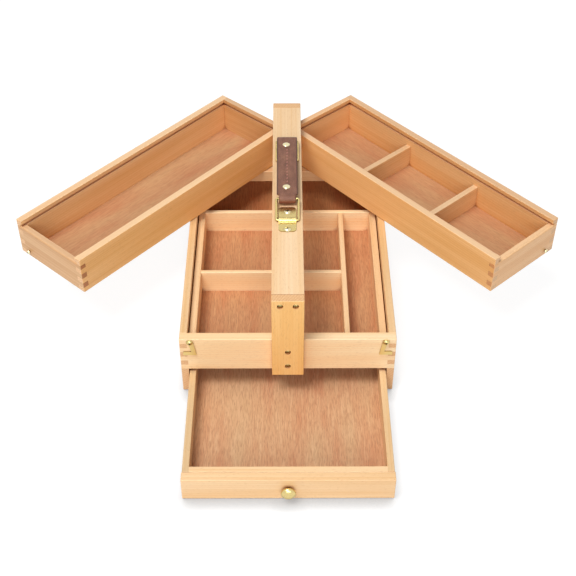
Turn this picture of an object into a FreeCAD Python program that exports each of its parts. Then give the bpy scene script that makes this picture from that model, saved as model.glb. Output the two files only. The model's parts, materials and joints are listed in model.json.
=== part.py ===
import FreeCAD, Part
import math
import os

# Wooden pastel box that opens out from a central carrying beam. A case holds a
# drawer below and a loose insert tray above; two trays over the case swing apart
# on upright pins at the back.
#
# Frame: millimetres, +X right, +Y to the back, +Z up. The origin is the centre of
# the case's underside. The box stands open: the drawer is pulled out, both
# swing trays are turned outwards and the handle lies towards the back.

V = FreeCAD.Vector

# ---------------------------------------------------------------- driving sizes
# Case
case_width = 260.0
case_depth = 380.0
case_height = 88.5
side_thickness = 9.0
back_thickness = 9.0
rail_thickness = 12.0
rail_height = 50.0
rail_fingers = 7
back_fingers = 11
plywood = 2.8
housing_depth = 4.0  # how far plywood enters the boards around it
edge_round = 0.8
pivot_board_width = 40.0
pivot_board_thickness = 16.5

# Carrying frame: a post on the front, a post on the back, a beam between them
post_width = 38.0
post_thickness = 12.0
post_foot_lift = 0.9  # above the rail's lower edge
beam_gap = 4.0  # between the closed trays and the beam
beam_thickness = 17.0

# Drawer
drawer_pull = 165.9  # how far it stands out of the case
drawer_front_thickness = 12.0
drawer_top_gap = 5.0  # below the rail and the middle floor
drawer_front_lift = 0.4
drawer_front_side_gap = 0.4
drawer_box_length = 354.0
drawer_box_side_gap = 1.0
drawer_wall = 8.0
drawer_fingers = 5
drawer_floor_gap = 0.3
drawer_base_gap = 0.5  # between the closed drawer's front board and the base panel

# Insert tray
insert_length = 247.5
insert_height = 35.0
insert_side = 8.7
insert_front = 8.0
insert_back = 6.0
insert_fingers = 5
insert_gap = 1.0
insert_front_gap = 0.5
insert_lift = 0.3
narrow_space_width = 35.55  # right of the long divider
long_divider_thickness = 6.5
cross_divider_front = 120.0  # from the insert's front face
cross_divider_thickness = 5.6
divider_drop = 0.5

# Swing trays, described closed
tray_wall = 9.5
tray_end = 8.0
tray_height = 52.5
tray_fingers = 7
tray_lift = 0.5
tray_front_gap = 0.6  # to the front post
tray_back_gap = 2.0  # to the back post
tray_middle_gap = 16.8  # between the two closed trays
tray_open_angle = 41.6
lid_cover = 5.0  # wood above the lid's groove
lid_slot = 4.0
lid_groove_depth = 3.0
lid_rest_round = 2.0  # on the wall that the lid slides over
tray_divider_thickness = 7.8
tray_divider_height = 32.2
tray_compartments = 3

# Tray pivots
pivot_from_inner_face = 14.6
pivot_from_back_face = 15.2
pivot_radius = 2.5
pivot_head_radius = 4.2
pivot_head_height = 1.6
pivot_in_board = 13.0
pivot_block_reach = 6.2  # wood beyond the pin's centre, across and along the tray
pivot_block_height = 28.0
running_clearance = 0.05
head_clearance = 0.3
fixing_clearance = 0.02

# Wood screws in the posts
post_screw_head_radius = 3.4
post_screw_head_height = 1.5
post_screw_shank_radius = 1.75
post_screw_recess = 1.9
beam_screw_offset = 9.0
beam_screw_length = 30.0
rail_screw_heights = (16.1, 40.1)  # above the rail's lower edge
rail_screw_grip = 9.5  # how far it enters the rail
back_screw_grip = 7.5

# Tray latches: a swinging hook on the case, a round-headed stud on the tray
latch_from_side = 12.6
latch_below_top = 3.9
latch_eye_radius = 4.2
latch_thickness = 1.2
latch_gap = 0.4
latch_screw_head_radius = 3.7
latch_screw_head_height = 2.1
latch_screw_shank_radius = 1.6
latch_screw_length = 10.0
latch_reach = 20.8  # from the screw down to the foot's lower edge
latch_foot = 5.2
latch_foot_out = 8.8
latch_arm_in = 7.6
latch_corner = 0.7
stud_inside_latch = 4.4  # towards the middle from the latch's screw
stud_above_latch = 12.4
stud_head_radius = 2.7
stud_head_height = 1.9
stud_shank_radius = 1.3
stud_standoff = 2.5
stud_depth = 6.5

# Drawer knob
knob_cap_radius = 9.8  # before the rim between its two caps is rounded
knob_rim_round = 3.0
knob_length = 10.9
knob_foot_radius = 4.2
knob_foot_height = 2.2
knob_widest_height = 5.5
knob_back_bulge = 4.6
knob_screw_radius = 2.0
knob_screw_head_radius = 4.2
knob_screw_head_height = 2.2
knob_screw_in_knob = 7.0

# Handle: two plates, two wire rings, one leather strap
handle_centre_y = 2.6
handle_pitch = 122.5
plate_back_reach = 26.3  # from the wire's line to the plate's back end
plate_front_reach = 20.4
plate_width = 22.0
plate_thickness = 1.2
plate_corner = 5.0
plate_screw_offset = 16.6
plate_screw_head_radius = 4.4
plate_screw_head_height = 2.2
plate_screw_shank_radius = 1.6
plate_screw_length = 14.0
ring_wire_radius = 1.7
ring_side_gap = 1.0  # between its long wires and the plate
ring_length = 35.0  # between the centre lines of its short wires
ring_corner = 2.0
ring_slack = 0.1
ridge_wall = 1.8
ring_seat_gap = 0.2
ring_rest_angle = 10.0
strap_width = 26.6
strap_side_gap = 1.5  # between the loops and the ring's long wires
strap_layer = 3.2
strap_loop_gap = 1.0
strap_full_width_start = 15.0  # of the lower layer, from the ring's wire
strap_front_shoulder = 2.0  # of the upper layer, from the ring's wire
strap_back_shoulder = 7.0
rivet_radius = 4.7
rivet_head_height = 1.5
rivet_shank_radius = 1.5
rivet_from_front_wire = 17.4
rivet_from_back_wire = 14.8
rivet_offset = -1.1  # to the left of the middle

# ---------------------------------------------------------------- derived places
case_front = -case_depth / 2
case_back = case_depth / 2
half_width = case_width / 2
inner_half_width = half_width - side_thickness
back_face = case_back - back_thickness
rail_bottom = case_height - rail_height
middle_floor_top = rail_bottom + plywood
drawer_face = case_front - drawer_pull
drawer_bottom = plywood + drawer_floor_gap
drawer_front_top = rail_bottom - drawer_top_gap
knob_height = (drawer_front_lift + drawer_front_top) / 2
tray_bottom = case_height + tray_lift
tray_top = tray_bottom + tray_height
beam_top = tray_top + beam_gap + beam_thickness
tray_inner_x = tray_middle_gap / 2
tray_y = (case_front + tray_front_gap, case_back - tray_back_gap)
pivot_x = tray_inner_x + pivot_from_inner_face
pivot_y = tray_y[1] - pivot_from_back_face
pivot_block_top = tray_bottom + plywood + pivot_block_height
latch_pivot_x = half_width - latch_from_side
latch_pivot_z = case_height - latch_below_top
ring_pivot_height = beam_top + ring_seat_gap + ring_wire_radius
# Between the centre lines of the ring's long wires
ring_width = plate_width + 2 * (ring_side_gap + ring_wire_radius)
ring_rise = ring_length * math.sin(math.radians(ring_rest_angle))
ring_run = ring_length * math.cos(math.radians(ring_rest_angle))
plate_places = [handle_centre_y - handle_pitch / 2, handle_centre_y + handle_pitch / 2]


# ---------------------------------------------------------------- small helpers
def box(x, y, z):
    """A block between two X values, two Y values and two Z values."""
    return Part.makeBox(x[1] - x[0], y[1] - y[0], z[1] - z[0], V(x[0], y[0], z[0]))


def fuse(shapes):
    """All the shapes as one, with the seams between flush faces removed."""
    whole = shapes[0]
    if len(shapes) > 1:
        whole = whole.multiFuse(shapes[1:]).removeSplitter()
    return whole


def along(shape, place, direction):
    """The shape carried from the origin to the place, its +Z turned to the direction."""
    turned = shape.copy()
    turned.Placement = FreeCAD.Placement(place, FreeCAD.Rotation(V(0, 0, 1), direction))
    return turned


def rod(radius, start, end):
    """A round rod between two points."""
    return Part.makeCylinder(radius, (end - start).Length, start, end - start)


def mirrored(shape):
    """The same shape on the other side of the middle plane X = 0."""
    return shape.mirror(V(0, 0, 0), V(1, 0, 0))


def eased(shape, picks, radius=edge_round):
    """The shape with the straight edges rounded for which picks(low, high) is true."""
    edges = []
    for edge in shape.Edges:
        bounds = edge.BoundBox
        low = V(bounds.XMin, bounds.YMin, bounds.ZMin)
        high = V(bounds.XMax, bounds.YMax, bounds.ZMax)
        if picks(low, high):
            edges.append(edge)
    return shape.makeFillet(radius, edges)


def same(first, second):
    """Whether two lengths agree."""
    return abs(first - second) < 1e-4


def save(node, *shapes):
    """Write the solids of one node to its STEP file."""
    solids = [solid for shape in shapes for solid in shape.Solids]
    for solid in solids:
        if not solid.isValid() or solid.Volume <= 0:
            raise ValueError(node + " is not a sound solid")
    whole = solids[0] if len(solids) == 1 else Part.makeCompound(solids)
    whole.exportStep("parts/" + node + ".step")


def dome(radius, height):
    """A round cap standing on the XY plane, a slice of one ball."""
    ball = (radius ** 2 + height ** 2) / (2 * height)
    middle = math.asin(radius / ball) / 2
    over = V(ball * math.sin(middle), 0, height - ball + ball * math.cos(middle))
    rim = [Part.makeLine(V(0, 0, 0), V(radius, 0, 0)),
           Part.Arc(V(radius, 0, 0), over, V(0, 0, height)).toShape(),
           Part.makeLine(V(0, 0, height), V(0, 0, 0))]
    return Part.Face(Part.Wire(rim)).revolve(V(0, 0, 0), V(0, 0, 1), 360)


def screw(head_radius, head_height, shank_radius, length):
    """A cross-slotted screw: domed head above the XY plane, pointed shank below it."""
    point = 1.5 * shank_radius
    head = dome(head_radius, head_height)
    slot_half = 0.13 * head_radius
    slot_reach = 0.55 * head_radius
    slot_z = (0.35 * head_height, head_height + 1)
    head = head.cut(box((-slot_reach, slot_reach), (-slot_half, slot_half), slot_z))
    head = head.cut(box((-slot_half, slot_half), (-slot_reach, slot_reach), slot_z))
    shank = Part.makeCylinder(shank_radius, length - point, V(0, 0, point - length))
    tip = Part.makeCone(0, shank_radius, point, V(0, 0, -length))
    return fuse([head, shank, tip])


# ---------------------------------------------------------------- box joinery
def fingers(x, y, z, count, first):
    """Every second finger of a corner, counted upwards, as one shape of blocks."""
    pitch = (z[1] - z[0]) / count
    blocks = []
    for n in range(first, count, 2):
        blocks.append(box(x, y, (z[0] + n * pitch, z[0] + (n + 1) * pitch)))
    return Part.makeCompound(blocks)


def frame(x, y, z, side, front, back):
    """Four walls as one ring, rounded at its outer corners and along its rims."""
    inner_x = (x[0] + side, x[1] - side)
    inner_y = (y[0] + front, y[1] - back)
    ring = box(x, y, z).cut(box(inner_x, inner_y, z))

    def rounded(low, high):
        upright = not same(low.z, high.z)
        at_corner = (same(low.x, x[0]) or same(low.x, x[1])) and (same(low.y, y[0]) or same(low.y, y[1]))
        on_outside = (same(low.x, x[0]) or same(high.x, x[1])) and (same(low.y, y[0]) or same(high.y, y[1]))
        if upright:
            return at_corner
        return same(low.z, z[1]) or on_outside

    return eased(ring, rounded)


def end_board(x, y, z, side, count):
    """A wall across the box, reaching out through the side walls with even fingers."""
    left = fingers((x[0], x[0] + side), y, z, count, 1)
    right = fingers((x[1] - side, x[1]), y, z, count, 1)
    return fuse([box((x[0] + side, x[1] - side), y, z)] + left.Solids + right.Solids)


def joined_box(x, y, z, side, front, back, count, floor_z, front_top=None):
    """Finger-jointed walls around a plywood floor set in rebates; a dict of solids."""
    ring = frame(x, y, z, side, front, back)
    floor_x = (x[0] + side - housing_depth, x[1] - side + housing_depth)
    floor_y = (y[0] + front - housing_depth, y[1] - back + housing_depth)
    floor = box(floor_x, floor_y, floor_z)
    front_board = end_board(x, (y[0], y[0] + front), z, side, count)
    back_board = end_board(x, (y[1] - back, y[1]), z, side, count)
    if front_top:
        front_board = front_board.common(box(x, y, (z[0], front_top)))
    boards = {"front_wall": front_board, "back_wall": back_board}
    for name, side_x in (("left_wall", (x[0], x[0] + side)), ("right_wall", (x[1] - side, x[1]))):
        boards[name] = box(side_x, y, z).cut(front_board).cut(back_board)
    for name in boards:
        boards[name] = ring.common(boards[name]).cut(floor)
    if front_top:
        def upper_edge(low, high):
            return same(low.z, front_top) and same(high.z, front_top) and high.x - low.x > side

        def outer_upper_edge(low, high):
            return upper_edge(low, high) and same(low.y, y[0]) and same(high.y, y[0])

        boards["front_wall"] = eased(boards["front_wall"], outer_upper_edge, lid_rest_round)
        boards["front_wall"] = eased(boards["front_wall"], lambda low, high: (
            upper_edge(low, high) and same(low.y, y[0] + front) and same(high.y, y[0] + front)))
    boards["floor"] = floor
    return boards


def rounded_top(x, y, z):
    """A board whose two long upper edges are rounded."""
    lengthwise = x[1] - x[0] > y[1] - y[0]

    def long_top(low, high):
        runs_long = (high.x - low.x if lengthwise else high.y - low.y) > edge_round
        return same(low.z, z[1]) and runs_long

    return eased(box(x, y, z), long_top)


# ---------------------------------------------------------------- case
def post_screw_places():
    """For front and back: the outside face, the way in, and each screw's X, Z and length."""
    shank_in_post = post_thickness - post_screw_recess
    places = []
    for face, inwards, grip in ((case_front - post_thickness, 1, rail_screw_grip),
                                (case_back + post_thickness, -1, back_screw_grip)):
        beam_middle = beam_top - beam_thickness / 2
        screws = [(x, beam_middle, beam_screw_length) for x in (-beam_screw_offset, beam_screw_offset)]
        screws += [(0.0, rail_bottom + rise, shank_in_post + grip) for rise in rail_screw_heights]
        places.append((face, inwards, screws))
    return places


def drilled_for_post_screws(shape, front):
    """The shape with the holes and recesses of one post's screws."""
    face, inwards, screws = post_screw_places()[0 if front else 1]
    inward = V(0, inwards, 0)
    for x, z, length in screws:
        mouth = V(x, face, z)
        seat = mouth + inward * post_screw_recess
        recess = rod(post_screw_head_radius + head_clearance, mouth - inward, seat)
        shank = rod(post_screw_shank_radius + fixing_clearance, seat - inward, seat + inward * length)
        shape = shape.cut(recess).cut(shank)
    return shape


def make_case():
    """The case's boards and floors; the front rail shows the side walls' end grain."""
    x = (-half_width, half_width)
    y = (case_front, case_back)
    z = (0.0, case_height)
    rail_y = (case_front, case_front + rail_thickness)
    rail_z = (rail_bottom, case_height)
    ring = frame(x, y, z, side_thickness, rail_thickness, back_thickness)
    floor_half = inner_half_width + housing_depth
    middle_floor = box((-floor_half, floor_half),
                       (rail_y[1] - housing_depth, back_face + housing_depth),
                       (rail_bottom, middle_floor_top))
    base_front = case_front + drawer_front_thickness + drawer_base_gap
    base_panel = box((-floor_half, floor_half), (base_front, back_face + housing_depth), (0.0, plywood))
    rail_ends = []
    for side_x in ((-half_width, -inner_half_width), (inner_half_width, half_width)):
        rail_ends += fingers(side_x, rail_y, rail_z, rail_fingers, 0).Solids
    front_rail = fuse([box((-inner_half_width, inner_half_width), rail_y, rail_z)] + rail_ends)
    back_wall = end_board(x, (back_face, case_back), z, side_thickness, back_fingers)
    boards = {"front_rail": front_rail, "back_wall": back_wall}
    for name, side_x in (("side_wall_left", (-half_width, -inner_half_width)),
                         ("side_wall_right", (inner_half_width, half_width))):
        boards[name] = box(side_x, y, z).cut(front_rail).cut(back_wall)
    for name in boards:
        boards[name] = ring.common(boards[name]).cut(middle_floor).cut(base_panel)
    boards["front_rail"] = drilled_for_post_screws(boards["front_rail"], True)
    boards["back_wall"] = drilled_for_post_screws(boards["back_wall"], False)
    screw_hole_start = case_front - latch_gap - latch_thickness
    for side in (-1, 1):
        start = V(side * latch_pivot_x, screw_hole_start, latch_pivot_z)
        hole = rod(latch_screw_shank_radius + fixing_clearance, start, start + V(0, latch_screw_length, 0))
        boards["front_rail"] = boards["front_rail"].cut(hole)
    boards["middle_floor"] = middle_floor
    boards["base_panel"] = base_panel
    for name, board in boards.items():
        save(name, board)


def make_pivot_board():
    """The board across the back of the case that the swing trays turn on."""
    board = rounded_top((-inner_half_width, inner_half_width),
                        (back_face - pivot_board_width, back_face),
                        (case_height - pivot_board_thickness, case_height))
    for side in (-1, 1):
        top = V(side * pivot_x, pivot_y, case_height)
        hole = rod(pivot_radius + fixing_clearance, top - V(0, 0, pivot_in_board), top + V(0, 0, 1))
        board = board.cut(hole)
    save("pivot_board", board)


def make_carrying_frame():
    """Posts screwed to the case's front and back, and the beam between them."""
    half = post_width / 2
    beam = box((-half, half), (case_front, case_back), (beam_top - beam_thickness, beam_top))
    beam = eased(beam, lambda low, high: high.y - low.y > post_width)
    beam = drilled_for_post_screws(drilled_for_post_screws(beam, True), False)
    for centre in plate_places:
        for offset in (-plate_screw_offset, plate_screw_offset):
            top = V(0, centre + offset, beam_top)
            bottom = top - V(0, 0, plate_screw_length - plate_thickness)
            beam = beam.cut(rod(plate_screw_shank_radius + fixing_clearance, bottom, top))
    save("top_beam", beam)
    for front, name, y in ((True, "front_post", (case_front - post_thickness, case_front)),
                           (False, "back_post", (case_back, case_back + post_thickness))):
        post = box((-half, half), y, (rail_bottom + post_foot_lift, beam_top))
        post = eased(post, lambda low, high: True)
        save(name, drilled_for_post_screws(post, front))
    sets = ("front_post_screws", "back_post_screws")
    for name, (face, inwards, screws) in zip(sets, post_screw_places()):
        solids = []
        for x, z, length in screws:
            solid = screw(post_screw_head_radius, post_screw_head_height, post_screw_shank_radius, length)
            seat = V(x, face + inwards * post_screw_recess, z)
            solids.append(along(solid, seat, V(0, -inwards, 0)))
        save(name, *solids)


# ---------------------------------------------------------------- drawer
def make_drawer():
    """A finger-jointed box with a front board that fills the opening below the rail."""
    half = inner_half_width - drawer_box_side_gap
    box_front = drawer_face + drawer_front_thickness
    screw_start = V(0, box_front + drawer_wall, knob_height)
    screw_end = screw_start - V(0, drawer_wall + drawer_front_thickness + knob_screw_in_knob, 0)
    hole = rod(knob_screw_radius + fixing_clearance, screw_start, screw_end)
    boards = joined_box((-half, half), (box_front, box_front + drawer_box_length),
                        (drawer_bottom, drawer_front_top), drawer_wall, drawer_wall, drawer_wall,
                        drawer_fingers, (drawer_bottom, drawer_bottom + plywood))
    save("drawer_inner_front", boards["front_wall"].cut(hole))
    save("drawer_back", boards["back_wall"])
    save("drawer_side_left", boards["left_wall"])
    save("drawer_side_right", boards["right_wall"])
    save("drawer_floor", boards["floor"])
    front_half = inner_half_width - drawer_front_side_gap
    front = box((-front_half, front_half), (drawer_face, box_front), (drawer_front_lift, drawer_front_top))
    front = eased(front, lambda low, high: same(low.y, drawer_face) or same(low.z, drawer_front_top))
    save("drawer_front", front.cut(hole))
    fixing = screw(knob_screw_head_radius, knob_screw_head_height, knob_screw_radius,
                   (screw_end - screw_start).Length - head_clearance)
    save("knob_screw", along(fixing, screw_start, V(0, 1, 0)))
    save("drawer_knob", along(knob(), V(0, drawer_face, knob_height), V(0, -1, 0)))


def knob():
    """A turned knob on the XY plane: a short foot under a flattened ball, bored for its screw."""
    front = dome(knob_cap_radius, knob_length - knob_widest_height)
    back = along(dome(knob_cap_radius, knob_back_bulge), V(0, 0, 0), V(0, 0, -1))
    ball = eased(fuse([front, back]), lambda low, high: same(low.z, 0) and same(high.z, 0), knob_rim_round)
    foot = Part.makeCylinder(knob_foot_radius, knob_foot_height)
    hole = rod(knob_screw_radius + fixing_clearance, V(0, 0, 0), V(0, 0, knob_screw_in_knob))
    return fuse([foot, ball.translated(V(0, 0, knob_widest_height))]).cut(hole)


# ---------------------------------------------------------------- insert tray
def make_insert():
    """The loose tray behind the rail, with one long and one cross divider."""
    half = inner_half_width - insert_gap
    front = case_front + rail_thickness + insert_front_gap
    bottom = middle_floor_top + insert_lift
    top = bottom + insert_height
    floor_top = bottom + plywood
    boards = joined_box((-half, half), (front, front + insert_length), (bottom, top),
                        insert_side, insert_front, insert_back, insert_fingers, (bottom, floor_top))
    save("insert_front", boards["front_wall"])
    save("insert_back", boards["back_wall"])
    save("insert_side_left", boards["left_wall"])
    save("insert_side_right", boards["right_wall"])
    save("insert_floor", boards["floor"])
    divider_z = (floor_top, top - divider_drop)
    narrow_space_left = half - insert_side - narrow_space_width
    long_x = (narrow_space_left - long_divider_thickness, narrow_space_left)
    long_y = (front + insert_front, front + insert_length - insert_back)
    save("insert_long_divider", rounded_top(long_x, long_y, divider_z))
    cross_y = (front + cross_divider_front, front + cross_divider_front + cross_divider_thickness)
    save("insert_cross_divider", rounded_top((-half + insert_side, long_x[0]), cross_y, divider_z))


# ---------------------------------------------------------------- swing trays
def closed_right_tray(dividers):
    """The right tray's pieces above the closed case, named without a side."""
    x = (tray_inner_x, half_width)
    inner_x = (x[0] + tray_wall, x[1] - tray_wall)
    inner_y = (tray_y[0] + tray_end, tray_y[1] - tray_end)
    groove_top = tray_top - lid_cover
    groove_bottom = groove_top - lid_slot
    floor_top = tray_bottom + plywood
    boards = joined_box(x, tray_y, (tray_bottom, tray_top), tray_wall, tray_end, tray_end, tray_fingers,
                        (tray_bottom, floor_top), front_top=groove_bottom)
    groove = box((inner_x[0] - lid_groove_depth, inner_x[1] + lid_groove_depth),
                 (tray_y[0] - 1, inner_y[1] + lid_groove_depth), (groove_bottom, groove_top))
    pin_hole = rod(pivot_radius + running_clearance, V(pivot_x, pivot_y, tray_bottom - 1),
                   V(pivot_x, pivot_y, pivot_block_top + 1))
    stud_face = V(latch_pivot_x - stud_inside_latch, tray_y[0], latch_pivot_z + stud_above_latch)
    stud_hole = rod(stud_shank_radius + fixing_clearance, stud_face, stud_face + V(0, stud_depth, 0))
    pieces = {"inner_wall": boards["left_wall"].cut(groove),
              "outer_wall": boards["right_wall"].cut(groove),
              "back_wall": boards["back_wall"].cut(groove),
              "front_wall": boards["front_wall"].cut(stud_hole),
              "floor": boards["floor"].cut(pin_hole)}
    block = box((inner_x[0], pivot_x + pivot_block_reach), (pivot_y - pivot_block_reach, inner_y[1]),
                (floor_top, pivot_block_top))
    pieces["pivot_block"] = block.cut(pin_hole)
    stud = screw(stud_head_radius, stud_head_height, stud_shank_radius, stud_standoff + stud_depth)
    pieces["stud"] = along(stud, stud_face - V(0, stud_standoff, 0), V(0, -1, 0))
    if dividers:
        wood = (tray_compartments - 1) * tray_divider_thickness
        clear = (inner_y[1] - inner_y[0] - wood) / tray_compartments
        for n in range(1, tray_compartments):
            start = inner_y[0] + n * clear + (n - 1) * tray_divider_thickness
            pieces["divider_" + str(n)] = rounded_top(inner_x, (start, start + tray_divider_thickness),
                                                      (floor_top, floor_top + tray_divider_height))
    return pieces


def make_swing_trays():
    """Both trays turned out about their pins; the left one has no dividers."""
    for side, dividers in (("right", True), ("left", False)):
        for name, shape in closed_right_tray(dividers).items():
            swung = shape.copy()
            swung.rotate(V(pivot_x, pivot_y, 0), V(0, 0, 1), tray_open_angle)
            save(side + "_tray_" + name, swung if side == "right" else mirrored(swung))


def make_pivot_pins():
    """Headed pins pressed into the pivot board, one through each tray's corner block."""
    foot = case_height - pivot_in_board
    shoulder = pivot_block_top + head_clearance
    shank = Part.makeCylinder(pivot_radius, shoulder - foot, V(0, 0, foot))
    head = dome(pivot_head_radius, pivot_head_height)
    head.translate(V(0, 0, shoulder))
    pin = fuse([shank, head])
    save("pivot_pins", *[pin.translated(V(side * pivot_x, pivot_y, 0)) for side in (-1, 1)])


# ---------------------------------------------------------------- latches
def make_latches():
    """A flat brass hook hanging from a screw on each side of the rail."""
    foot_top = latch_foot - latch_reach
    outline = [(-latch_eye_radius, 0.0), (-latch_arm_in, -latch_reach),
               (latch_foot_out, -latch_reach), (latch_foot_out - 0.6, foot_top),
               (-1.6, foot_top), (1.2, -latch_eye_radius), (latch_eye_radius, 0.0)]
    corners = [V(u, 0, w) for u, w in outline]
    arm = Part.Face(Part.makePolygon(corners + corners[:1])).extrude(V(0, latch_thickness, 0))
    eye = rod(latch_eye_radius, V(0, 0, 0), V(0, latch_thickness, 0))
    hook = fuse([arm, eye])

    def foot_corner(low, high):
        return same(low.x, high.x) and same(low.z, high.z) and low.z < foot_top + 1

    hook = eased(hook, foot_corner, latch_corner)
    hole = rod(latch_screw_shank_radius + running_clearance, V(0, -1, 0), V(0, latch_thickness + 1, 0))
    hook = hook.cut(hole)
    face = case_front - latch_gap - latch_thickness
    hook.translate(V(latch_pivot_x, face, latch_pivot_z))
    save("latch_right", hook)
    save("latch_left", mirrored(hook))
    fixing = screw(latch_screw_head_radius, latch_screw_head_height,
                   latch_screw_shank_radius, latch_screw_length)
    seats = [V(side * latch_pivot_x, face - running_clearance, latch_pivot_z) for side in (-1, 1)]
    save("latch_screws", *[along(fixing, seat, V(0, -1, 0)) for seat in seats])


# ---------------------------------------------------------------- handle
def handle_plate():
    """A brass plate with a ridge over the ring's wire, the wire's centre line on the Y = 0 plane."""
    inside = ring_wire_radius + ring_slack
    outside = inside + ridge_wall
    centre = ring_seat_gap + ring_wire_radius
    plate_y = (-plate_front_reach, plate_back_reach)
    plate = box((-plate_width / 2, plate_width / 2), plate_y, (0, plate_thickness))
    plate = eased(plate, lambda low, high: same(low.x, high.x) and same(low.y, high.y), plate_corner)
    left = V(-plate_width / 2, 0, centre)
    right = V(plate_width / 2, 0, centre)
    ridge = fuse([rod(outside, left, right), box((left.x, right.x), (-outside, outside), (0, centre))])
    ridge = ridge.common(box((left.x, right.x), (-outside, outside), (0, centre + outside)))
    plate = fuse([plate, ridge])

    def ridge_foot(low, high):
        return high.x - low.x > plate_corner and same(low.z, plate_thickness) and same(abs(low.y), outside)

    plate = eased(plate, ridge_foot, 1.0)
    channel = rod(inside, left - V(1, 0, 0), right + V(1, 0, 0))
    slot = box((left.x - 1, right.x + 1), (-inside, inside), (-1, centre))
    plate = plate.cut(channel).cut(slot)
    for offset in (-plate_screw_offset, plate_screw_offset):
        start = V(0, offset, -1)
        hole = rod(plate_screw_shank_radius + fixing_clearance, start, start + V(0, 0, plate_thickness + 2))
        plate = plate.cut(hole)
    return plate


def handle_ring():
    """A closed rectangle of round wire: pivot wire on the X axis, far wire at +Y."""
    half = ring_width / 2
    straight = half - ring_corner
    far = ring_length - ring_corner
    rods = [rod(ring_wire_radius, V(-straight, 0, 0), V(straight, 0, 0)),
            rod(ring_wire_radius, V(-straight, ring_length, 0), V(straight, ring_length, 0))]
    for side in (-half, half):
        rods.append(rod(ring_wire_radius, V(side, ring_corner, 0), V(side, far, 0)))
    quarter = Part.makeTorus(ring_corner, ring_wire_radius, V(0, 0, 0), V(0, 0, 1), 0, 360, 90)
    for x, y, turn in ((straight, far, 0), (-straight, far, 90), (-straight, ring_corner, 180),
                       (straight, ring_corner, 270)):
        bend = quarter.copy()
        bend.rotate(V(0, 0, 0), V(0, 0, 1), turn)
        bend.translate(V(x, y, 0))
        rods.append(bend)
    return fuse(rods)


def strap(front_wire, back_wire, height):
    """Two layers of leather from wire to wire, folded round each wire in a loop."""
    hole = ring_wire_radius + strap_loop_gap
    loop = hole + strap_layer
    half = strap_width / 2
    fold_half = ring_width / 2 - ring_wire_radius - strap_side_gap
    upper = (height + loop - strap_layer, height + loop)
    lower = (upper[0] - strap_layer, upper[0])
    wide = (front_wire + strap_full_width_start, back_wire - strap_full_width_start)
    shoulders = (front_wire + strap_front_shoulder, back_wire - strap_back_shoulder)
    layers = [box((-half, half), shoulders, upper),
              box((-half, half), wide, lower),
              box((-fold_half, fold_half), (front_wire, back_wire), (lower[0], upper[1]))]
    for wire in (front_wire, back_wire):
        layers.append(rod(loop, V(-fold_half, wire, height), V(fold_half, wire, height)))
    body = fuse(layers)
    for wire in (front_wire, back_wire):
        body = body.cut(rod(hole, V(-half, wire, height), V(half, wire, height)))
    return body


def make_handle():
    """Plates screwed to the beam, rings lying to the back, strap and rivets."""
    screws = []
    fixing = screw(plate_screw_head_radius, plate_screw_head_height,
                   plate_screw_shank_radius, plate_screw_length)
    rings = {}
    for name, centre in zip(("front", "back"), plate_places):
        save("handle_plate_" + name, handle_plate().translated(V(0, centre, beam_top)))
        for offset in (-plate_screw_offset, plate_screw_offset):
            seat = V(0, centre + offset, beam_top + plate_thickness)
            screws.append(along(fixing, seat, V(0, 0, 1)))
        ring = handle_ring()
        ring.rotate(V(0, 0, 0), V(1, 0, 0), ring_rest_angle)
        ring.translate(V(0, centre, ring_pivot_height))
        rings[name] = ring
    save("handle_plate_screws", *screws)
    save("handle_ring_front", rings["front"])
    save("handle_ring_back", rings["back"])
    front_wire, back_wire = [centre + ring_run for centre in plate_places]
    wire_height = ring_pivot_height + ring_rise
    leather = strap(front_wire, back_wire, wire_height)
    top = wire_height + ring_wire_radius + strap_loop_gap + strap_layer
    underside = top - 2 * strap_layer
    rivets = []
    for y in (front_wire + rivet_from_front_wire, back_wire - rivet_from_back_wire):
        over = V(rivet_offset, y, top)
        under = V(rivet_offset, y, underside)
        reach = V(0, 0, 1)
        leather = leather.cut(rod(rivet_shank_radius + fixing_clearance, under - reach, over + reach))
        head = dome(rivet_radius, rivet_head_height)
        shank = rod(rivet_shank_radius, under, over)
        rivets.append(fuse([head.translated(over), shank, along(head, under, V(0, 0, -1))]))
    save("handle_strap", leather)
    save("strap_rivets", *rivets)


os.makedirs("parts", exist_ok=True)
make_case()
make_pivot_board()
make_carrying_frame()
make_drawer()
make_insert()
make_swing_trays()
make_pivot_pins()
make_latches()
make_handle()
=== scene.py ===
import json
import math

import bpy
import numpy as np
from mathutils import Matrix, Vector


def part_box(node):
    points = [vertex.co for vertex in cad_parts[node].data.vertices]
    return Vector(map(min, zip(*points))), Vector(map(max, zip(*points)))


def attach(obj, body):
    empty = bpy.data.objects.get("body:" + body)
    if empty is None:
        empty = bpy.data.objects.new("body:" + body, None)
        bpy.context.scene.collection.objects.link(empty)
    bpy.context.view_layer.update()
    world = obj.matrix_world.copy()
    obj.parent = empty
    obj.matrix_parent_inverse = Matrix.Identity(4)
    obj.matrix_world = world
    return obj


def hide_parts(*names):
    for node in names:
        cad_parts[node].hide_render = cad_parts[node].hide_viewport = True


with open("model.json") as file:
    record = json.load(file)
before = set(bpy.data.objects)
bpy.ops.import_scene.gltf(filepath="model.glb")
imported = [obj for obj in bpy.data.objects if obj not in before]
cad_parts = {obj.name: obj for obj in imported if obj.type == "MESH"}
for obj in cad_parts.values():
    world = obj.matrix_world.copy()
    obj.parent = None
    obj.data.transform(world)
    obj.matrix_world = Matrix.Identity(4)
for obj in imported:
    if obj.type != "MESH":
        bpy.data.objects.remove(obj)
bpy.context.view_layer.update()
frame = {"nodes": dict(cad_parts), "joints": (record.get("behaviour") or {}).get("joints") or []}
mm = 0.001
nodes = frame["nodes"]
joints = {joint["name"]: joint for joint in frame["joints"]}


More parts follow.
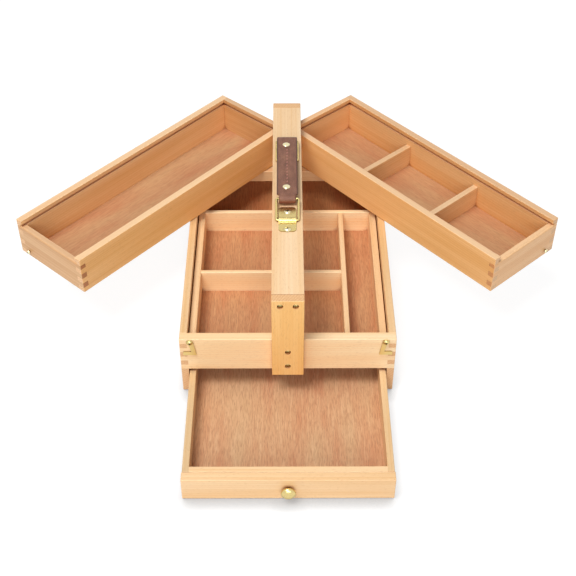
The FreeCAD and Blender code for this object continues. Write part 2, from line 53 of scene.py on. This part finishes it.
# ---------------------------------------------------------------- small helpers
def linear(colour):
    """The linear RGBA of an sRGB hex colour."""
    parts = [int(colour[i:i + 2], 16) / 255 for i in (1, 3, 5)]
    return [c / 12.92 if c <= 0.04045 else ((c + 0.055) / 1.055) ** 2.4 for c in parts] + [1.0]


def plug(tree, node, inputs):
    """Set a node's inputs, or link them where the value is another node's output."""
    for name, value in inputs.items():
        if isinstance(value, bpy.types.NodeSocket):
            tree.links.new(value, node.inputs[name])
        else:
            node.inputs[name].default_value = value


def add(tree, kind, inputs=None, **settings):
    """Add a node to the tree, with its settings, and set or link its inputs."""
    made = tree.nodes.new(kind)
    for name, value in settings.items():
        setattr(made, name, value)
    plug(tree, made, inputs or {})
    return made


def ramp(tree, factor, stops):
    """A colour ramp over the factor, from (position, hex colour) stops."""
    made = add(tree, "ShaderNodeValToRGB", {"Fac": factor})
    elements = made.color_ramp.elements
    while len(elements) < len(stops):
        elements.new(0.5)
    for element, (position, colour) in zip(elements, stops):
        element.position = position
        element.color = linear(colour)
    return made.outputs["Color"]


def mix(tree, factor, first, second, blend="MIX"):
    """Two colours mixed, or blended the way that is named."""
    made = add(tree, "ShaderNodeMix", data_type="RGBA", blend_type=blend)
    # Several sockets share a name here, so the colour ones go by their numbers
    plug(tree, made, {0: factor, 6: first, 7: second})
    return made.outputs[2]


def calc(tree, operation, *values):
    """A math node's result."""
    return add(tree, "ShaderNodeMath", dict(enumerate(values)), operation=operation).outputs[0]


def weighted(tree, *terms):
    """The sum of values times their shares, from (value, share) pairs."""
    parts = [calc(tree, "MULTIPLY", value, share) for value, share in terms]
    total = parts.pop()
    while parts:
        total = calc(tree, "ADD", parts.pop(), total)
    return total


def stained(tree, colour, where, share, stain, blend="MIX"):
    """The colour mixed with a stain, as far as the share in the places where the value is 1."""
    return mix(tree, calc(tree, "MULTIPLY", where, share), colour, linear(stain), blend)


def remap(tree, value, low, high, to_low=0.0, to_high=1.0):
    """The value taken from low..high to to_low..to_high, and held at both ends."""
    inputs = {"Value": value, "From Min": low, "From Max": high, "To Min": to_low, "To Max": to_high}
    return add(tree, "ShaderNodeMapRange", inputs).outputs["Result"]


def scaled(tree, vector, scale):
    """The vector with its X, Y and Z each multiplied."""
    return add(tree, "ShaderNodeMapping", {"Vector": vector, "Scale": scale}).outputs["Vector"]


def noise(tree, vector, detail=2.0, roughness=0.5, distortion=0.0):
    """Soft noise from 0 to 1, with one blot to a unit of the vector."""
    inputs = {"Vector": vector, "Scale": 1.0, "Detail": detail, "Roughness": roughness,
              "Distortion": distortion}
    return add(tree, "ShaderNodeTexNoise", inputs).outputs["Fac"]


def bumped(tree, height, strength, distance):
    """The normal bent by a relief of that height."""
    inputs = {"Height": height, "Strength": strength, "Distance": distance}
    return add(tree, "ShaderNodeBump", inputs).outputs["Normal"]


def recesses(tree, reach, lean=None):
    """How deep a point lies in a corner or a groove, 0 to 1, from the surfaces within the reach. It looks
    out round the surface's normal, or round the way that lean gives."""
    inputs = {"Distance": reach}
    if lean:
        inputs["Normal"] = add(tree, "ShaderNodeCombineXYZ", dict(enumerate(lean))).outputs[0]
    open_share = add(tree, "ShaderNodeAmbientOcclusion", inputs, samples=8).outputs["AO"]
    return calc(tree, "SUBTRACT", 1.0, open_share)


def material(name):
    """A new material: the material, its tree and its principled shader."""
    made = bpy.data.materials.new(name)
    made.use_nodes = True
    return made, made.node_tree, made.node_tree.nodes["Principled BSDF"]


def finish_with(piece, finish):
    """Give a piece one material all over."""
    piece.data.materials.clear()
    piece.data.materials.append(finish)
    for face in piece.data.polygons:
        face.material_index = 0


def new_piece(name, points, faces, rounded):
    """A mesh object of the scene, shaded as one rounded surface or as flat faces."""
    mesh = bpy.data.meshes.new(name)
    mesh.from_pydata(points, [], faces)
    mesh.polygons.foreach_set("use_smooth", np.full(len(faces), rounded))
    mesh.update()
    piece = bpy.data.objects.new(name, mesh)
    bpy.context.scene.collection.objects.link(piece)
    return piece


# ---------------------------------------------------------------- wood
# How far a face looks along the grain, or upwards, where end grain or an upper edge starts and is full
end_grain = (0.6, 0.85)
upper_edge = (0.5, 0.9)
# A plain inner corner hides a little under half of the light, and the painted shade of grooves and inner
# corners starts only in deeper recesses
deep_recess = (0.42, 0.92)
# A shift moves a noise pattern by these along its axes. It grows by a step from one board or panel to the
# next, and by a whole number from one layer of the figure to the next, so that no two look alike
shift_ways = (1.0, 2.3, 1.7)
board_shift_step = 1.37
panel_shift_step = 2.9


def turned_to_grain(tree, vector, turn, centre=(0, 0, 0)):
    """The vector seen from a board's middle, turned so that the grain runs along X."""
    inputs = {"Vector": vector, "Location": centre, "Rotation": turn}
    return add(tree, "ShaderNodeMapping", inputs, vector_type="TEXTURE").outputs["Vector"]


def stretched(tree, vector, length, width, shift):
    """Coordinates in which one unit is length along the grain and width across it."""
    inputs = {"Vector": vector, "Location": [shift * way for way in shift_ways],
              "Scale": (1 / length, 1 / width, 1 / width)}
    return add(tree, "ShaderNodeMapping", inputs).outputs["Vector"]


def beech(name, centre, turn, shift, pale, brown, end, top_light_share):
    """Steamed beech, planed and clear-lacquered: fine straight figure, short dark ray flecks, brown ends."""
    made, tree, shader = material(name)
    place = add(tree, "ShaderNodeTexCoord").outputs
    grain = turned_to_grain(tree, place["Object"], turn, centre)
    # Broad soft bands and finer streaks
    bands = noise(tree, stretched(tree, grain, 330 * mm, 14 * mm, shift), detail=1.0)
    streaks = noise(tree, stretched(tree, grain, 120 * mm, 2.5 * mm, shift + 7),
                    detail=3.0, roughness=0.6, distortion=0.4)
    # Growth rings, 3 mm apart at this scale of the wave, around a pith that lies outside the board. They
    # hardly change along it
    ring_scale = 105.0
    pith = (0, 45 * mm + 10 * mm * math.sin(2.1 * shift), 60 * mm + 20 * mm * math.cos(1.3 * shift))
    trunk = add(tree, "ShaderNodeMapping", {"Vector": grain, "Location": pith, "Scale": (0.05, 1, 1)})
    rings = add(tree, "ShaderNodeTexWave", {"Vector": trunk.outputs["Vector"], "Scale": ring_scale,
                                            "Distortion": 1.6, "Detail": 2.0, "Detail Scale": 0.4},
                wave_type="RINGS", rings_direction="X", wave_profile="SAW").outputs["Fac"]
    # Ray flecks: the real ones are 2 mm by 0.3 mm, drawn over twice as large so that they show
    rays = noise(tree, stretched(tree, grain, 4.5 * mm, 0.8 * mm, shift + 13), detail=1.0)
    flecks = remap(tree, rays, 0.60, 0.70)
    colour = ramp(tree, weighted(tree, (bands, 0.55), (streaks, 0.35), (rings, 0.14)),
                  [(0.36, pale), (0.68, brown)])
    colour = stained(tree, colour, flecks, share=0.17, stain="#A9682F")
    # Painted light: faces that look upwards are made paler, as the light from above leaves them
    upwards = add(tree, "ShaderNodeSeparateXYZ", {"Vector": place["Normal"]}).outputs["Z"]
    colour = stained(tree, colour, remap(tree, upwards, *upper_edge), share=top_light_share, stain="#F8D8B4")
    # End grain: open pores of about 0.4 mm between the rings darken under lacquer
    pore = 0.4 * mm
    pores = noise(tree, stretched(tree, grain, pore, pore, shift + 3), detail=1.0)
    dark = ramp(tree, weighted(tree, (rings, 0.16), (pores, 0.76)), [(0.26, "#DCBCA0"), (0.6, "#FFFFFF")])
    cut = mix(tree, 1.0, linear(end), dark, "MULTIPLY")
    facing = add(tree, "ShaderNodeSeparateXYZ", {"Vector": turned_to_grain(tree, place["Normal"], turn)})
    ends = remap(tree, calc(tree, "ABSOLUTE", facing.outputs["X"]), *end_grain)
    colour = mix(tree, calc(tree, "MULTIPLY", ends, 0.92), colour, cut)
    # Painted shade: grooves and inner corners are darkened towards a warm brown, for the shade and warm
    # bounce light there, and they shine less there
    hollow = recesses(tree, 9 * mm)
    colour = mix(tree, remap(tree, hollow, *deep_recess), colour, linear("#A85820"), "MULTIPLY")
    relief = calc(tree, "SUBTRACT", streaks, calc(tree, "MULTIPLY", flecks, 0.5))
    specular = 0.5
    coat = 0.18
    plug(tree, shader, {"Base Color": colour,
                        "Specular IOR Level": calc(tree, "MULTIPLY_ADD", hollow, -specular, specular),
                        "Coat Weight": calc(tree, "MULTIPLY_ADD", hollow, -coat, coat),
                        "Coat Roughness": 0.3,
                        "Roughness": remap(tree, streaks, 0.0, 1.0, 0.36, 0.52),
                        "Normal": bumped(tree, relief, strength=0.25, distance=0.08 * mm)})
    return made


def plywood(name, centre, turn, shift, contrast, stain):
    """Thin plywood with a sliced tropical face veneer: pinkish and tan patches, pale lines, dark pores."""
    made, tree, shader = material(name)
    grain = turned_to_grain(tree, add(tree, "ShaderNodeTexCoord").outputs["Object"], turn, centre)
    patches = noise(tree, stretched(tree, grain, 160 * mm, 30 * mm, shift), detail=2.0)
    # Pores are 3 mm long and 0.25 mm wide in the real veneer, and drawn almost four times as large to show
    pores = noise(tree, stretched(tree, grain, 11 * mm, 0.95 * mm, shift + 5),
                  detail=2.0, roughness=0.6, distortion=0.5)
    lines = noise(tree, stretched(tree, grain, 34 * mm, 2.4 * mm, shift + 11),
                  detail=2.0, roughness=0.6, distortion=0.4)
    share = 0.5 * contrast
    colour = ramp(tree, patches, [(0.34, "#CC9069"), (0.52, "#D2A077"), (0.68, "#D3A97F")])
    colour = stained(tree, colour, remap(tree, lines, 0.45, 0.7), share, "#E5BE94")
    colour = stained(tree, colour, remap(tree, pores, 0.47, 0.64), share, "#A06A48")
    # Painted shade: the inner corners are darkened towards a red brown
    colour = stained(tree, colour, recesses(tree, 16 * mm), 0.3, "#C06A40", "MULTIPLY")
    relief = calc(tree, "SUBTRACT", 1.0, pores)
    plug(tree, shader, {"Base Color": mix(tree, 1.0, colour, linear(stain), "MULTIPLY"),
                        "Roughness": 0.55,
                        "Normal": bumped(tree, relief, strength=0.3, distance=0.08 * mm)})
    return made


def middle(node):
    """The middle of a CAD node's box."""
    low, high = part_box(node)
    return tuple((low + high) / 2)


# The trays stand open by the swing. Grain runs across the box, from front to back, or up
swing = math.radians(-joints["right_tray_swing"]["range_deg"][0])
across = (0, 0, 0)
deep_way = (0, 0, math.pi / 2)
upright = (0, -math.pi / 2, 0)
# Face tones of the boards, pale and deep
light_tone = ("#F8D3A4", "#EDBE86")
rail_tone = ("#FFE2B6", "#FAD09A")
side_tone = ("#F0CA9A", "#E6B87E")
beam_tone = ("#FAD9AF", "#F1C692")
warm_tone = ("#FBCA84", "#F3B96B")
tray_tone = ("#EFC593", "#DFAA70")
# The mirror boards on the left and the right have tones of their own, which hold the light and shade that
# falls on each side: painted light and shade
drawer_lit_and_shaded_tones = {"left": ("#E0C094", "#D6AE7A"), "right": ("#ECCA9C", "#E1B680")}
inner_lit_and_shaded_tones = {"left": ("#F7C586", "#E9AE67"), "right": ("#F2BE80", "#E2A560")}
short_lit_and_shaded_tones = {"left": ("#DDAF7B", "#CA925A"), "right": ("#F9C68E", "#ECB072")}
outer_lit_and_shaded_tones = {"left": ("#F6C892", "#E8AE6E"), "right": ("#E6B47C", "#D69858")}
# Tones of their end grain
pale_end = "#F2C896"
wall_end = "#EFC391"
soft_end = "#E4AE7E"
# The short walls' end grain, too, holds the light and shade of each side: painted light and shade
short_lit_and_shaded_ends = {"left": "#B87844", "right": "#D2935A"}
# How far the light from above is painted onto the trays' upper edges, making them paler
long_wall_top_light = {"inner": 0.5, "outer": 0.4}
short_wall_top_light = 0.3
boards = {}


def board(node, turn, tone, end=soft_end, top_light_share=0.0):
    """Note how a board's grain runs, its tones, and how far its upper edges are painted paler by the light
    from above.
    """
    boards[node] = (turn, *tone, end, top_light_share)


for node in ("front_rail", "insert_back", "insert_cross_divider"):
    board(node, across, rail_tone)
for node in ("drawer_front", "drawer_inner_front", "drawer_back", "insert_front", "back_wall",
             "pivot_board"):
    board(node, across, light_tone)
for node in ("insert_side_left", "insert_side_right", "insert_long_divider"):
    board(node, deep_way, light_tone)
board("top_beam", deep_way, beam_tone)
for node in ("side_wall_left", "side_wall_right"):
    board(node, deep_way, side_tone, wall_end)
for node in ("front_post", "back_post"):
    board(node, upright, warm_tone, pale_end)
for side, sign in (("left", -1), ("right", 1)):
    board(f"drawer_side_{side}", deep_way, drawer_lit_and_shaded_tones[side])
    along_tray = (0, 0, math.pi / 2 + sign * swing)
    across_tray = (0, 0, sign * swing)
    for wall, tones in (("inner", inner_lit_and_shaded_tones), ("outer", outer_lit_and_shaded_tones)):
        board(f"{side}_tray_{wall}_wall", along_tray, tones[side], pale_end, long_wall_top_light[wall])
    for wall in ("front", "back"):
        board(f"{side}_tray_{wall}_wall", across_tray, short_lit_and_shaded_tones[side], short_lit_and_shaded_ends[side],
              short_wall_top_light)
    board(f"{side}_tray_pivot_block", upright, tray_tone)
for node in ("right_tray_divider_1", "right_tray_divider_2"):
    board(node, (0, 0, swing), tray_tone, soft_end, short_wall_top_light)
for number, (node, (turn, *tones)) in enumerate(sorted(boards.items())):
    shift = board_shift_step * number
    finish_with(nodes[node], beech("lacquered_beech_" + node, middle(node), turn, shift, *tones))

# Each panel's grain, the contrast of its veneer, and the stain over it
# The case's stain is darker and redder than the others, and so also paints the deep shade under the trays on
# the middle floor
case_stain_and_shade = "#EED0B4"
tray_stain = "#F6F3EC"
panels = {"drawer_floor": (deep_way, 1.0, "#FCFCFC"),
          "insert_floor": (deep_way, 1.0, "#F6E8DA"),
          "middle_floor": (deep_way, 1.0, case_stain_and_shade),
          "base_panel": (deep_way, 1.0, case_stain_and_shade),
          "left_tray_floor": ((0, 0, math.pi / 2 - swing), 0.6, tray_stain),
          "right_tray_floor": ((0, 0, math.pi / 2 + swing), 0.6, tray_stain)}
for number, (node, (turn, *veneer)) in enumerate(sorted(panels.items())):
    shift = panel_shift_step * number
    finish_with(nodes[node], plywood("veneered_plywood_" + node, middle(node), turn, shift, *veneer))


# ---------------------------------------------------------------- metal
def metal(name, colour, slot_shade_colour, roughness, scratches):
    """Plated and polished metal: slightly uneven polish, fine scratches, and painted shade in the recesses.
    """
    made, tree, shader = material(name)
    place = add(tree, "ShaderNodeTexCoord").outputs["Object"]
    # Clouds of 3 mm in the polish, and scratches of 1 mm that are 0.4 mm wide
    cloud = noise(tree, scaled(tree, place, (300, 300, 300)))
    fine = noise(tree, scaled(tree, place, (900, 2600, 900)))
    # Painted shade: the slots of the screws and the foot of each fitting are darkened towards a dark colour
    hollow = calc(tree, "MULTIPLY", recesses(tree, 2.5 * mm), 1.5)
    slot_shade = add(tree, "ShaderNodeClamp", {"Value": hollow}).outputs[0]
    plug(tree, shader, {"Base Color": mix(tree, slot_shade, linear(colour), linear(slot_shade_colour)),
                        "Metallic": 1.0,
                        "Roughness": remap(tree, cloud, 0.0, 1.0, roughness - 0.06, roughness + 0.08),
                        "Normal": bumped(tree, fine, strength=scratches, distance=0.02 * mm)})
    return made


brass = metal("bright_brass_plate", "#DCC686", "#4A3414", roughness=0.24, scratches=0.3)
pale_brass = metal("pale_brass_plate", "#EBDFB4", "#3A2A10", roughness=0.22, scratches=0.2)
# The latches' brass is paler than the rest, which paints in the bright reflection that their upright faces
# show: painted reflection
stamped_brass = metal("stamped_brass", "#EAD28E", "#6A4A1C", roughness=0.38, scratches=0.3)
steel = metal("turned_steel", "#B4B4B2", "#3C3C3A", roughness=0.3, scratches=0.4)
fittings = ((brass, ("handle_plate_front", "handle_plate_back", "handle_ring_front", "handle_ring_back",
                     "drawer_knob", "knob_screw", "front_post_screws", "back_post_screws", "latch_screws")),
            (pale_brass, ("handle_plate_screws", "strap_rivets", "left_tray_stud", "right_tray_stud")),
            (stamped_brass, ("latch_left", "latch_right")),
            (steel, ("pivot_pins",)))
for finish, pieces in fittings:
    for node in pieces:
        finish_with(nodes[node], finish)


# ---------------------------------------------------------------- strap
def grid_quads(rows, columns, closed_rows):
    """The quads over a grid of points whose last column meets the first, as the last row does if asked.
    Returns them with the row and the column at which each quad starts."""
    first_rows = np.arange(rows if closed_rows else rows - 1)
    row, column = np.meshgrid(first_rows, np.arange(columns), indexing="ij")
    next_row = (row + 1) % rows
    next_column = (column + 1) % columns
    corners = (row * columns + column, row * columns + next_column,
               next_row * columns + next_column, next_row * columns + column)
    return np.stack(corners, -1).reshape(-1, 4), row.reshape(-1), column.reshape(-1)


def smooth(x):
    """The smooth step from 0 to 1 of x clipped to 0..1."""
    x = np.clip(x, 0, 1)
    return x * x * (3 - 2 * x)


strap_low, strap_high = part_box("handle_strap")
front_wire = np.array(joints["strap_swing"]["pos_m"])
loop_outer = strap_high.z - front_wire[2]
layer = 3.2 * mm
half_layer = layer / 2
layer_clearance = 0.05 * mm
# The leather is a hair thinner than the layers of the CAD node, and stays inside them
leather_share = 0.985
loop_middle = loop_outer - half_layer
back_wire_y = strap_high.y - loop_outer
span = back_wire_y - front_wire[1]
# Half of the strap's width, in full and where it is folded round a wire
full_half = (strap_high.x - strap_low.x) / 2
fold_half = 10.5 * mm
rivet_low, rivet_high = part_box("strap_rivets")
rivet_radius = (rivet_high.x - rivet_low.x) / 2
rivet_gap = 1.2 * mm
seam_offset = 0.9 * mm
seam_x = (rivet_low.x + rivet_high.x) / 2 + seam_offset
seam = (rivet_low.y + 2 * rivet_radius + rivet_gap, rivet_high.y - 2 * rivet_radius - rivet_gap)
seam_sink = 0.45 * mm


def band_line(count=300, run_count=160, turn_count=40):
    """The closed centre line of the leather band in (Y, Z) from the front wire's centre: over the top,
    round the back wire, back underneath against the top layer, and round the front wire. Returns points
    and tangents."""
    rise = 15 * mm
    under = loop_middle - layer - layer_clearance
    turn = np.linspace(math.pi / 2, -math.pi / 2, turn_count, endpoint=False)
    over = np.linspace(0, span, run_count, endpoint=False)
    back = np.linspace(span, 0, run_count, endpoint=False)
    near_end = np.minimum(back, span - back) / rise
    height = -loop_middle + (under + loop_middle) * smooth(near_end)
    line = np.concatenate([np.stack([over, np.full(run_count, loop_middle)], 1),
                           np.stack([span + loop_middle * np.cos(turn), loop_middle * np.sin(turn)], 1),
                           np.stack([back, height], 1),
                           loop_middle * np.stack([np.cos(turn + math.pi), np.sin(turn + math.pi)], 1)])
    # Its points are then spaced evenly
    closed = np.concatenate([line, line[:1]])
    length = np.r_[0, np.cumsum(np.linalg.norm(np.diff(closed, axis=0), axis=1))]
    even = np.linspace(0, length[-1], count, endpoint=False)
    line = np.stack([np.interp(even, length, closed[:, k]) for k in (0, 1)], 1)
    tangent = np.roll(line, -1, 0) - np.roll(line, 1, 0)
    return line, tangent / np.linalg.norm(tangent, axis=1)[:, None]


def band_section(flat=70, bend=12):
    """The band's cross section as a flat strip with half round edges, anticlockwise from the right edge.
    Returns the share of the flat half width, and the offset across and upwards as shares of the half
    thickness."""
    side = np.linspace(-math.pi / 2, math.pi / 2, bend)
    level = np.linspace(1, -1, flat)[1:-1]
    share = np.r_[np.ones(bend), level, -np.ones(bend), -level]
    across_edge = np.r_[np.cos(side), 0 * level, -np.cos(side), 0 * level]
    upwards = np.r_[np.sin(side), 0 * level + 1, -np.sin(side), 0 * level - 1]
    return share, across_edge, upwards


def strap_band():
    """Leather band, the cross section carried along the band line. It is narrow round both wires, where it
    is folded. The top layer widens over a shoulder at the front wire, and at the back it stays wide over
    the wire and narrows as it turns down. Its edges drop across the top, and it sinks along the seam."""
    shoulder_start = 1.5 * mm
    shoulder = 3.5 * mm
    under_start = 10 * mm
    under_shoulder = 6 * mm
    near_back_wire = 12 * mm
    turned_down = 1.7 * mm
    turning_down = 2 * mm
    edge_drop = 0.6 * mm
    groove_half = 0.9 * mm
    groove_run_out = 2 * mm
    almost = 0.9
    line, tangent = band_line()
    share, across_edge, upwards = band_section()
    y, z = line[:, 0], line[:, 1]
    on_top = z > almost * loop_middle
    over_back_wire = (y > span - near_back_wire) & (z > 0)
    front = np.where(on_top, smooth((y - shoulder_start) / shoulder),
                     smooth((y - under_start) / under_shoulder))
    back = np.where(over_back_wire, smooth((z - turned_down) / turning_down),
                    smooth((span - under_start - y) / under_shoulder))
    spread = front * np.where(on_top & ~over_back_wire, 1.0, back)
    width = fold_half + (full_half - fold_half) * spread
    x = share[None, :] * (width - half_layer)[:, None] + across_edge[None, :] * half_layer
    crown = edge_drop * (x / full_half) ** 2 * on_top[:, None]
    place = y + front_wire[1]
    from_seam_end = np.minimum(place - seam[0], seam[1] - place)
    along_seam = smooth(from_seam_end / groove_run_out) * on_top
    across_seam = np.exp(-((x - seam_x) / groove_half) ** 2) * (upwards > almost)[None, :]
    groove = seam_sink * across_seam * along_seam[:, None]
    normal = np.stack([-tangent[:, 1], tangent[:, 0]], 1)
    offset = upwards[None, :] * half_layer * leather_share - crown - groove
    yy = place[:, None] + normal[:, :1] * offset
    zz = z[:, None] + normal[:, 1:] * offset + front_wire[2]
    points = np.stack([x, yy, zz], -1)
    rows, columns = len(y), len(share)
    quads, row, column = grid_quads(rows, columns, True)
    piece = new_piece("leather_strap", points.reshape(-1, 3).tolist(), quads.tolist(), True)
    # The leather reads Object coordinates. The UV map, with the section unrolled across and the band line
    # upwards, is for baking and for other finishes
    u = np.stack([column, column + 1, column + 1, column], 1) / columns
    v = np.stack([row, row, row + 1, row + 1], 1) / rows
    unrolled = np.stack([u, v], -1).astype(np.float32)
    piece.data.uv_layers.new(name="UVMap").data.foreach_set("uv", unrolled.reshape(-1))
    return piece


def strap_stitches():
    """Waxed thread: a row of stitches along the seam, each a rod that is thickest in its middle, lies in
    the groove on a slant and dips into the leather at both ends."""
    pitch = 6.8 * mm
    half_length = 1.9 * mm
    radius = 0.6 * mm
    blunt = 0.02
    flattened = 0.8
    dip = 0.5 * mm
    slant = 0.3 * mm
    rows = 13
    columns = 10
    count = int((seam[1] - seam[0]) / pitch)
    run = np.linspace(-1, 1, rows)
    turn = np.linspace(0, 2 * math.pi, columns, endpoint=False)
    thick = radius * np.sqrt(np.clip(1 + blunt - run ** 2, 0, 1))
    first = (seam[0] + seam[1] - (count - 1) * pitch) / 2
    top = front_wire[2] + loop_outer - seam_sink
    x = seam_x + (slant * run)[:, None] + thick[:, None] * np.cos(turn)[None, :]
    z = top - (dip * run ** 2)[:, None] + flattened * thick[:, None] * np.sin(turn)[None, :]
    # A stitch runs the other way round from the band, so its quads are turned over to face outwards
    quads = grid_quads(rows, columns, False)[0][:, [0, 3, 2, 1]]
    near_end = np.arange(columns)
    far_end = (rows - 1) * columns + near_end[::-1]
    points = []
    faces = []
    for number in range(count):
        y = np.repeat((first + number * pitch + half_length * run)[:, None], columns, 1)
        start = len(points)
        points += np.stack([x, y, z], -1).reshape(-1, 3).tolist()
        faces += (quads + start).tolist()
        faces += [(near_end + start).tolist(), (far_end + start).tolist()]
    return new_piece("strap_stitches", points, faces, True)


def leather(name):
    """Dark brown full-grain leather, waxed: fine pebbles, small creases between them, burnished edges."""
    made, tree, shader = material(name)
    place = add(tree, "ShaderNodeTexCoord").outputs["Object"]
    # Pebbles of 1.3 mm with creases between them, and cloudy wear, 6 mm across and 17 mm along the strap
    pebble_scale = 760.0
    cells = add(tree, "ShaderNodeTexVoronoi", {"Vector": place, "Scale": pebble_scale},
                feature="DISTANCE_TO_EDGE").outputs["Distance"]
    pebble = remap(tree, cells, 0.0, 0.22)
    cloud = noise(tree, scaled(tree, place, (160, 60, 160)), detail=3.0)
    colour = ramp(tree, cloud, [(0.3, "#774932"), (0.5, "#88573F"), (0.72, "#9A684E")])
    colour = mix(tree, calc(tree, "MULTIPLY_ADD", pebble, -0.5, 0.5), colour, linear("#4E261A"))
    # Burnished edges, and painted light below the wire: there the fold is made darker and redder, for its
    # shade and the red glow that the brass plate throws up on it
    spot = add(tree, "ShaderNodeSeparateXYZ", {"Vector": place}).outputs
    edge = remap(tree, calc(tree, "ABSOLUTE", spot["X"]), full_half - 2.2 * mm, full_half - 1.0 * mm)
    colour = stained(tree, colour, edge, 0.9, "#4A2010")
    below = remap(tree, spot["Z"], front_wire[2] - 0.5 * mm, front_wire[2] + 1.5 * mm, 1.0, 0.0)
    colour = stained(tree, colour, below, 0.8, "#7A3018")
    relief = calc(tree, "ADD", pebble, calc(tree, "MULTIPLY", cloud, 0.6))
    plug(tree, shader, {"Base Color": colour,
                        "Roughness": 0.5,
                        "Coat Weight": 0.12,
                        "Coat Roughness": 0.35,
                        "Normal": bumped(tree, relief, strength=0.7, distance=0.25 * mm)})
    return made


def thread(name):
    """Waxed reddish polyester thread: a soft sheen and a fine twist along each stitch."""
    made, tree, shader = material(name)
    place = add(tree, "ShaderNodeTexCoord").outputs["Object"]
    twist_scale = 900.0
    twist = add(tree, "ShaderNodeTexWave", {"Vector": place, "Scale": twist_scale},
                bands_direction="DIAGONAL").outputs["Fac"]
    plug(tree, shader, {"Base Color": ramp(tree, twist, [(0.2, "#B87468"), (0.8, "#DC9C8C")]),
                        "Roughness": 0.55})
    return made


strap = strap_band()
stitches = strap_stitches()
finish_with(strap, leather("waxed_brown_leather"))
finish_with(stitches, thread("waxed_thread"))
for piece in (strap, stitches):
    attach(piece, "strap")
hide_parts("handle_strap")


# ---------------------------------------------------------------- floor, light and camera
white = (1, 1, 1, 1)


def seen_directly(tree):
    """1 where the camera looks, also by way of polished or clear things, and 0 for the light that falls on
    matte ones."""
    path = add(tree, "ShaderNodeLightPath").outputs
    passed_on = calc(tree, "MAXIMUM", path["Is Glossy Ray"], path["Is Transmission Ray"])
    return calc(tree, "MAXIMUM", path["Is Camera Ray"], passed_on)


def studio_floor():
    """A pale floor: it takes the object's shadow, and shows white elsewhere."""
    reach = 8.0
    below = -0.2 * mm
    lit_grey = (0.8, 0.8, 0.8, 1)
    seen_grey = (0.2, 0.2, 0.2, 1)
    shade_reach = 22 * mm
    shade_lean = (0, 0.8, 0.6)
    shade_start = 0.1
    shade_depth = 0.8
    glow_near = 0.9
    glow_far = 1.02
    near = 0.6
    far = 1.6
    corners = [(x * reach, y * reach, below) for x, y in ((-1, -1), (1, -1), (1, 1), (-1, 1))]
    piece = new_piece("studio_floor", corners, [(0, 1, 2, 3)], False)
    made = bpy.data.materials.new("white_paper")
    made.use_nodes = True
    tree = made.node_tree
    tree.nodes.clear()
    # The camera and polished metal see it brighter than it lights the object
    matte = add(tree, "ShaderNodeBsdfDiffuse", {"Color": lit_grey})
    seen_matte = add(tree, "ShaderNodeBsdfDiffuse", {"Color": seen_grey})
    # The floor turns grey close to the object's front, where a way that leans back meets the object
    shade = remap(tree, recesses(tree, shade_reach, shade_lean), shade_start, 1.0, 0.0, shade_depth)
    # Far from the lamps the paper glows a little more, so that it stays white up to the horizon
    place = add(tree, "ShaderNodeNewGeometry").outputs["Position"]
    from_middle = add(tree, "ShaderNodeVectorMath", {0: place}, operation="LENGTH").outputs["Value"]
    base = remap(tree, from_middle, near, far, glow_near, glow_far)
    strength = calc(tree, "SUBTRACT", base, shade)
    glow = add(tree, "ShaderNodeEmission", {"Color": white, "Strength": strength})
    seen = add(tree, "ShaderNodeAddShader", {0: seen_matte.outputs[0], 1: glow.outputs[0]})
    both = add(tree, "ShaderNodeMixShader", {0: seen_directly(tree), 1: matte.outputs[0],
                                             2: seen.outputs[0]})
    add(tree, "ShaderNodeOutputMaterial", {"Surface": both.outputs[0]})
    piece.data.materials.append(made)


def studio_world():
    """Even soft light all round, and plain white behind the object."""
    room_light = 0.22
    backdrop = 1.0
    world = bpy.data.worlds.new("studio")
    bpy.context.scene.world = world
    world.use_nodes = True
    tree = world.node_tree
    tree.nodes.clear()
    light = add(tree, "ShaderNodeBackground", {"Color": white, "Strength": room_light})
    behind = add(tree, "ShaderNodeBackground", {"Color": white, "Strength": backdrop})
    both = add(tree, "ShaderNodeMixShader", {0: seen_directly(tree), 1: light.outputs[0],
                                             2: behind.outputs[0]})
    add(tree, "ShaderNodeOutputWorld", {"Surface": both.outputs[0]})


def lamp(name, place, aim, size, power):
    """A soft box at a place, which shines along its own -Z, turned to a point."""
    data = bpy.data.lights.new(name, "AREA")
    data.shape = "RECTANGLE"
    data.size, data.size_y = size
    data.energy = power
    made = bpy.data.objects.new(name, data)
    made.location = place
    way = np.array(aim, float) - np.array(place, float)
    flat = math.hypot(way[0], way[1])
    made.rotation_euler = (math.atan2(flat, -way[2]), 0, math.atan2(-way[0], way[1]))
    bpy.context.scene.collection.objects.link(made)


def camera(place, tilt, turn, lens, shift):
    """The scene's camera: its tilt from straight down and its turn in degrees, its lens in millimetres."""
    data = bpy.data.cameras.new("camera")
    data.sensor_width = 36.0
    data.lens = lens
    data.shift_x = shift
    made = bpy.data.objects.new("camera", data)
    made.location = place
    made.rotation_euler = (math.radians(tilt), 0, math.radians(turn))
    bpy.context.scene.collection.objects.link(made)
    bpy.context.scene.camera = made


studio_floor()
studio_world()
lit_point = (0, 0, 0.05)
lamp("key_box", place=(-0.92, -0.95, 2.95), aim=lit_point, size=(1.3, 1.3), power=71)
lamp("front_box", place=(0.0, -3.5, 1.85), aim=lit_point, size=(2.3, 1.7), power=57)
camera(place=(-0.0036, -1.1171, 1.0343), tilt=47.087, turn=-0.197, lens=69.428, shift=0.00087)
bpy.context.scene.view_settings.view_transform = "Standard"
